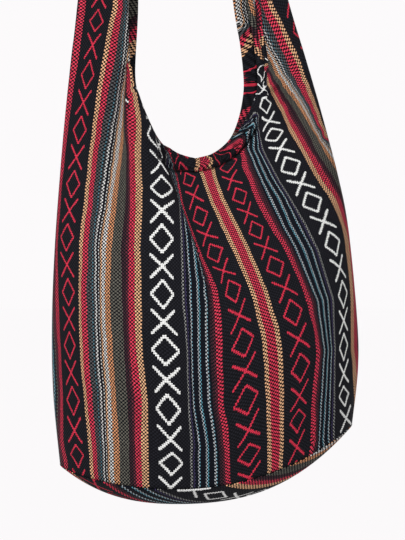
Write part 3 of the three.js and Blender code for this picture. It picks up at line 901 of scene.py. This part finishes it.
BLACK = srgb(30, 30, 36)
NAVY = srgb(14, 18, 30)
WEFT = srgb(13, 13, 17)
CRIMSON = srgb(214, 60, 84)
WINE = srgb(98, 44, 56)
DEEP_WINE = srgb(62, 38, 46)
GOLD = srgb(230, 178, 136)
ORANGE = srgb(214, 150, 108)
OLIVE = srgb(96, 94, 86)
ASH = srgb(140, 140, 138)
WHITE = srgb(212, 211, 209)
TEAL = srgb(96, 158, 176)
PALE = srgb(176, 180, 184)
PURPLE = srgb(66, 58, 96)
SMOKE = srgb(82, 82, 84)
DIM_TEAL = srgb(74, 118, 132)
FIGURE_RED = srgb(214, 52, 76)
FIGURE_WHITE = srgb(238, 238, 236)

# Warp colours by place across, up to the white-figured stripe and from it on. Past the pattern's end the
# stripes repeat.
INNER_STRIPES = [
    (0, CRIMSON), (3.5, GOLD), (8.5, BLACK), (44, CRIMSON), (49, WINE), (52, DEEP_WINE), (55, NAVY),
    (57.2, TEAL), (58.9, PALE), (60.6, NAVY), (66.8, TEAL), (68.5, PALE), (70.2, NAVY), (76.2, TEAL),
    (77.9, PALE), (79.6, NAVY), (82.5, PURPLE), (84.8, BLACK), (86, ASH), (88.5, BLACK),
]
OUTER_STRIPES = [
    (88, BLACK), (126, GOLD), (133, CRIMSON), (139, WINE), (142, DEEP_WINE), (146, OLIVE),
    (157, ORANGE), (163, WHITE), (167, GOLD), (168.6, BLACK), (169.6, WHITE), (171, BLACK), (172, WHITE),
    (173.2, SMOKE), (175.4, DIM_TEAL), (176.1, SMOKE), (181, CRIMSON), (186, GOLD), (191, BLACK),
    (227, CRIMSON), (232, WINE), (236, OLIVE),
]
OUTER_FROM = 88.4
PATTERN_END = 238.0
PATTERN_WIDTH = 183.0
STRIPE_SPAN = 256.0
THREAD = 1.75


class Recipe:
    """A material's or the world's node tree, filled by small steps."""

    def __init__(self, tree):
        self.tree = tree
        self.tree.nodes.clear()

    def node(self, kind, **settings):
        made = self.tree.nodes.new(kind)
        for key, value in settings.items():
            setattr(made, key, value)
        return made

    def feed(self, socket, value):
        if isinstance(value, bpy.types.NodeSocket):
            self.tree.links.new(value, socket)
        else:
            socket.default_value = value

    def sum(self, operation, a, b=None, c=None):
        made = self.node("ShaderNodeMath", operation=operation)
        self.feed(made.inputs[0], a)
        if b is not None:
            self.feed(made.inputs[1], b)
        if c is not None:
            self.feed(made.inputs[2], c)
        return made.outputs[0]

    def plus(self, a, b):
        return self.sum("ADD", a, b)

    def minus(self, a, b):
        return self.sum("SUBTRACT", a, b)

    def times(self, a, b):
        return self.sum("MULTIPLY", a, b)

    # a times b, and c more
    def scaled(self, a, b, c):
        return self.sum("MULTIPLY_ADD", a, b, c)

    def larger(self, a, b):
        return self.sum("MAXIMUM", a, b)

    def less(self, a, b):
        return self.sum("LESS_THAN", a, b)

    def more(self, a, b):
        return self.sum("GREATER_THAN", a, b)

    def size(self, a):
        return self.sum("ABSOLUTE", a)

    # Waves along a count of threads, so many half waves to a thread
    def wave(self, threads, halves):
        return self.sum("SINE", self.times(threads, halves * math.pi))

    # The middle of the step that a value falls in, counted in steps
    def stepped(self, value, count):
        return self.plus(self.sum("FLOOR", self.times(value, count)), 0.5)

    def step(self, value, low, high):
        made = self.node("ShaderNodeMapRange", interpolation_type="SMOOTHSTEP")
        self.feed(made.inputs["Value"], value)
        self.feed(made.inputs["From Min"], low)
        self.feed(made.inputs["From Max"], high)
        return made.outputs["Result"]

    def mix(self, share, a, b, blend="MIX"):
        made = self.node("ShaderNodeMix", data_type="RGBA", blend_type=blend)
        self.feed(made.inputs[0], share)
        self.feed(made.inputs[6], a)
        self.feed(made.inputs[7], b)
        return made.outputs[2]

    def stripes(self, place, table):
        ramp = self.node("ShaderNodeValToRGB")
        ramp.color_ramp.interpolation = "CONSTANT"
        stops = ramp.color_ramp.elements
        while len(stops) > 1:
            stops.remove(stops[-1])
        stops[0].position = table[0][0] / STRIPE_SPAN
        stops[0].color = table[0][1]
        for position, colour in table[1:]:
            stop = stops.new(position / STRIPE_SPAN)
            stop.color = colour
        self.feed(ramp.inputs[0], place)
        return ramp.outputs[0]

    # Cloudy patches, with scales across the cloth and along it
    def patches(self, place, along, scales, detail):
        made = self.node("ShaderNodeTexNoise")
        spot = self.vector(self.times(place, scales[0]), self.times(along, scales[1]))
        self.feed(made.inputs["Vector"], spot)
        made.inputs["Scale"].default_value = 1.0
        made.inputs["Detail"].default_value = detail
        return made.outputs[0]

    def vector(self, x, y, z=0.0):
        made = self.node("ShaderNodeCombineXYZ")
        self.feed(made.inputs[0], x)
        self.feed(made.inputs[1], y)
        self.feed(made.inputs[2], z)
        return made.outputs[0]


def uv_places(r, name):
    split = r.node("ShaderNodeSeparateXYZ")
    r.feed(split.inputs[0], r.node("ShaderNodeUVMap", uv_map=name).outputs[0])
    return split.outputs[0], split.outputs[1]


def new_material(name):
    material = bpy.data.materials.new(name)
    material.use_nodes = True
    return material, Recipe(material.node_tree)


# The hem's band, the threads' wander and slubs, and the dye's clouds, in squares. Pairs are scales across
# and along, a factor and what is added, or the low and high ends of a step.
BAND_EDGE = (HEM_WIDTH - 1.4, HEM_WIDTH - 0.6)
BAND_SLANT = 0.8
BAND_SHIFT = 0.3
WANDER = (0.02, 0.05)
WANDER_SQUARES = 2.4
DYE = (0.55, 0.03)
DYE_RANGE = (0.9, 0.58)
SLUB = (0.5, 0.5)
SLUB_STRENGTH = 0.9
WARP_SEEN = (-0.05, 0.2)


# Every warp thread keeps one colour; thread by thread and patch by patch the dye varies
def warp_colours(r, place, along, threads):
    place_of_thread = r.size(r.times(r.stepped(threads, 2.0), THREAD / 2))
    repeated = r.times(r.more(place_of_thread, PATTERN_END), PATTERN_WIDTH)
    stripe = r.minus(place_of_thread, repeated)
    share = r.times(stripe, 1 / STRIPE_SPAN)
    inner, outer = r.stripes(share, INNER_STRIPES), r.stripes(share, OUTER_STRIPES)
    dye = r.scaled(r.patches(place, along, DYE, 3.0), *DYE_RANGE)
    return r.mix(1.0, r.mix(r.more(stripe, OUTER_FROM), inner, outer), r.vector(dye, dye, dye), "MULTIPLY")


# Figured stripes: the middle's place across and half the width of a figure's stroke, then the sizes of the
# diamonds and crosses, in squares
FIGURES = {"outer red": (209, 1.35), "inner red": (26.25, 1.4), "white": (107.5, 1.85)}
FIGURE_STEP = 1.5
FIGURE_HALF_WIDTH = 10.4
FIGURE_WOBBLE = 2.4
DIAMOND_HALF_LENGTH = 13.5
DIAMOND_SLOPE = 1.35
DIAMOND_END = 15.0
CROSS_SLOPE = 1.16
CROSS_END = 12.4


# Diamonds and crosses in turn, with stepped sides
def figures(r, place, count, slub, name):
    centre, half_stroke = FIGURES[name]
    offset = r.minus(r.size(place), centre)
    reach = r.size(r.times(r.stepped(offset, 1 / FIGURE_STEP), FIGURE_STEP))
    diamond = r.minus(DIAMOND_HALF_LENGTH, r.times(reach, DIAMOND_SLOPE))
    cross = r.times(reach, CROSS_SLOPE)
    wobble = r.times(r.minus(slub, 0.5), FIGURE_WOBBLE)
    masks = []
    for shift, line, end in ((0.5, diamond, DIAMOND_END), (1.0, cross, CROSS_END)):
        height = r.size(r.times(r.minus(r.sum("FRACT", r.plus(count, shift)), 0.5), REPEAT))
        miss = r.size(r.minus(height, line))
        masks.append(r.times(r.less(r.plus(miss, wobble), half_stroke), r.less(height, end)))
    return r.times(r.larger(*masks), r.less(reach, FIGURE_HALF_WIDTH))


# Painted shades are a factor and what is added
STITCH_LINE = HEM_WIDTH + 0.2
STITCH_REACH = (0.4, 2.8)
STITCH_SHADE = (0.82, 0.18)
TWIST = (1.1, 0.7)
TWIST_SHADE = (0.2, -0.2)


# The band is twisted, with painted shade along its twist that leaves it a little darker, and a painted
# shadow lies along the stitching's sunk line below it
def hem_shade(r, place, from_rim, on_band):
    from_stitches = r.size(r.minus(from_rim, STITCH_LINE))
    stitch_shade = r.scaled(r.step(from_stitches, *STITCH_REACH), *STITCH_SHADE)
    twist = r.sum("SINE", r.scaled(place, TWIST[0], r.times(from_rim, TWIST[1])))
    band_shade = r.scaled(r.scaled(twist, *TWIST_SHADE), on_band, 1.0)
    return r.times(stitch_shade, band_shade)


# Painted shade across each thread and along the lines between the figures' strands, each a factor and what
# is added
THREAD_SHADE = (0.12, 0.9)
STRAND_SHADE = (0.22, -0.12)
WEAVE_HEIGHT = 0.6
BUMP_STRENGTH = 0.55
BUMP_DISTANCE = 0.0005
ROUGHNESS = 0.88
SHEEN = 0.08


def striped_cloth():
    material, r = new_material("striped cloth")
    place, count = uv_places(r, "cloth")
    from_rim = r.size(uv_places(r, "hem")[0])
    # the turned hem's band is twisted a little, so the stripes slant on it
    on_band = r.minus(1.0, r.step(from_rim, *BAND_EDGE))
    place = r.scaled(on_band, r.times(r.minus(from_rim, HEM_WIDTH / 2), BAND_SLANT), place)
    count = r.scaled(on_band, BAND_SHIFT, count)
    along = r.times(count, REPEAT)
    wander = r.minus(r.patches(place, along, WANDER, 2.0), 0.5)
    threads = r.times(r.scaled(wander, WANDER_SQUARES, place), 1 / THREAD)
    picks = r.times(along, 1 / THREAD)
    # plain weave: warp over weft where the two waves agree
    slub = r.patches(place, along, SLUB, 1.0)
    over = r.times(r.wave(threads, 1), r.wave(picks, 1))
    over = r.plus(over, r.times(r.minus(slub, 0.5), SLUB_STRENGTH))
    shown = r.step(over, *WARP_SEEN)
    colour = r.mix(shown, WEFT, warp_colours(r, place, along, threads))
    red = r.larger(figures(r, place, count, slub, "inner red"), figures(r, place, count, slub, "outer red"))
    white = figures(r, place, count, slub, "white")
    colour = r.mix(white, r.mix(red, colour, FIGURE_RED), FIGURE_WHITE)
    raised = r.larger(red, white)
    # the figures' threads lie side by side, with a painted shade line between them
    strand = r.times(r.scaled(r.wave(picks, 2), *STRAND_SHADE), raised)
    # painted shade across each warp thread: one half of it lighter, the other darker
    shade = r.plus(r.scaled(r.wave(threads, 2), *THREAD_SHADE), strand)
    shade = r.times(shade, hem_shade(r, place, from_rim, on_band))
    bump = r.node("ShaderNodeBump")
    bump.inputs["Strength"].default_value = BUMP_STRENGTH
    bump.inputs["Distance"].default_value = BUMP_DISTANCE
    r.feed(bump.inputs["Height"], r.plus(r.times(shown, WEAVE_HEIGHT), raised))
    skin = r.node("ShaderNodeBsdfPrincipled")
    r.feed(skin.inputs["Base Color"], r.mix(1.0, colour, r.vector(shade, shade, shade), "MULTIPLY"))
    skin.inputs["Roughness"].default_value = ROUGHNESS
    skin.inputs["Specular IOR Level"].default_value = SHEEN
    r.feed(skin.inputs["Normal"], bump.outputs[0])
    r.feed(r.node("ShaderNodeOutputMaterial").inputs[0], skin.outputs[0])
    return material


# Floor, light and camera
PAPER = srgb(252, 250, 251)
PAPER_SHARE = 0.985
FLOOR_COLOUR = (0.8, 0.79, 0.795, 1)
FLOOR_SIZE = 60
FLOOR_Z = -1.5
ROOM_LIGHT = 0.5


# 1 where the paper is looked at, straight or in a mirror or glass, and 0 where it only lights the bag
def looked_at(r):
    path = r.node("ShaderNodeLightPath")
    bent = r.larger(path.outputs["Is Glossy Ray"], path.outputs["Is Transmission Ray"])
    return r.larger(path.outputs["Is Camera Ray"], bent)


def mix_shaders(r, share, under, over):
    mix = r.node("ShaderNodeMixShader")
    r.feed(mix.inputs[0], share)
    r.feed(mix.inputs[1], under.outputs[0])
    r.feed(mix.inputs[2], over.outputs[0])
    return mix.outputs[0]


def pale_paper():
    material, r = new_material("pale paper")
    matt = r.node("ShaderNodeBsdfDiffuse")
    matt.inputs["Color"].default_value = FLOOR_COLOUR
    glow = r.node("ShaderNodeEmission")
    glow.inputs["Color"].default_value = PAPER
    surface = mix_shaders(r, r.times(looked_at(r), PAPER_SHARE), matt, glow)
    r.feed(r.node("ShaderNodeOutputMaterial").inputs[0], surface)
    return material


def add_floor():
    bpy.ops.mesh.primitive_plane_add(size=FLOOR_SIZE, location=(0, 0, FLOOR_Z))
    floor = bpy.context.object
    floor.name = "floor"
    bpy.ops.object.transform_apply(location=True, rotation=True, scale=True)
    floor.data.materials.append(pale_paper())


def background(r, colour, strength):
    made = r.node("ShaderNodeBackground")
    made.inputs[0].default_value = colour
    made.inputs[1].default_value = strength
    return made


def add_world():
    world = bpy.data.worlds.new("pale room")
    world.use_nodes = True
    bpy.context.scene.world = world
    r = Recipe(world.node_tree)
    room = background(r, (1, 1, 1, 1), ROOM_LIGHT)
    seen = background(r, PAPER, 1.0)
    r.feed(r.node("ShaderNodeOutputWorld").inputs[0], mix_shaders(r, looked_at(r), room, seen))


LAMP_AIM = (0.05, 0, -0.6)


def add_lamp(name, place, size, power):
    data = bpy.data.lights.new(name, "AREA")
    data.shape = "DISK"
    data.size = size
    data.energy = power
    lamp = bpy.data.objects.new(name, data)
    bpy.context.scene.collection.objects.link(lamp)
    lamp.location = place
    lamp.rotation_euler = (Vector(LAMP_AIM) - Vector(place)).to_track_quat("-Z", "Y").to_euler()


SENSOR = 36
PICTURE_SQUARES = 540


def add_camera():
    data = bpy.data.cameras.new("camera")
    data.sensor_width = SENSOR
    data.lens = SENSOR * -EYE[1] / (PICTURE_SQUARES * SQUARE)
    data.clip_start = 0.05
    data.clip_end = 100
    camera = bpy.data.objects.new("camera", data)
    bpy.context.scene.collection.objects.link(camera)
    camera.location = Vector(EYE) * MM
    camera.rotation_euler = (math.pi / 2, 0, 0)
    bpy.context.scene.camera = camera


# Making it all
bpy.context.scene.view_settings.view_transform = "Standard"
add_camera()
add_world()
add_floor()
add_lamp("window light", (-1.3, -2.0, 0.9), 1.3, 62)
add_lamp("fill light", (1.6, -1.8, -0.2), 1.6, 12)

cloth = striped_cloth()
front, front_edges = make_panel("front", "front_cloth", FRONT_ROWS, FRONT_COLUMNS, cloth,
                                "front_panel")
back, back_edges = make_panel("back", "back_cloth", BACK_ROWS, BACK_COLUMNS, cloth,
                              "back_panel")
base = make_base(front_edges, back_edges, cloth)
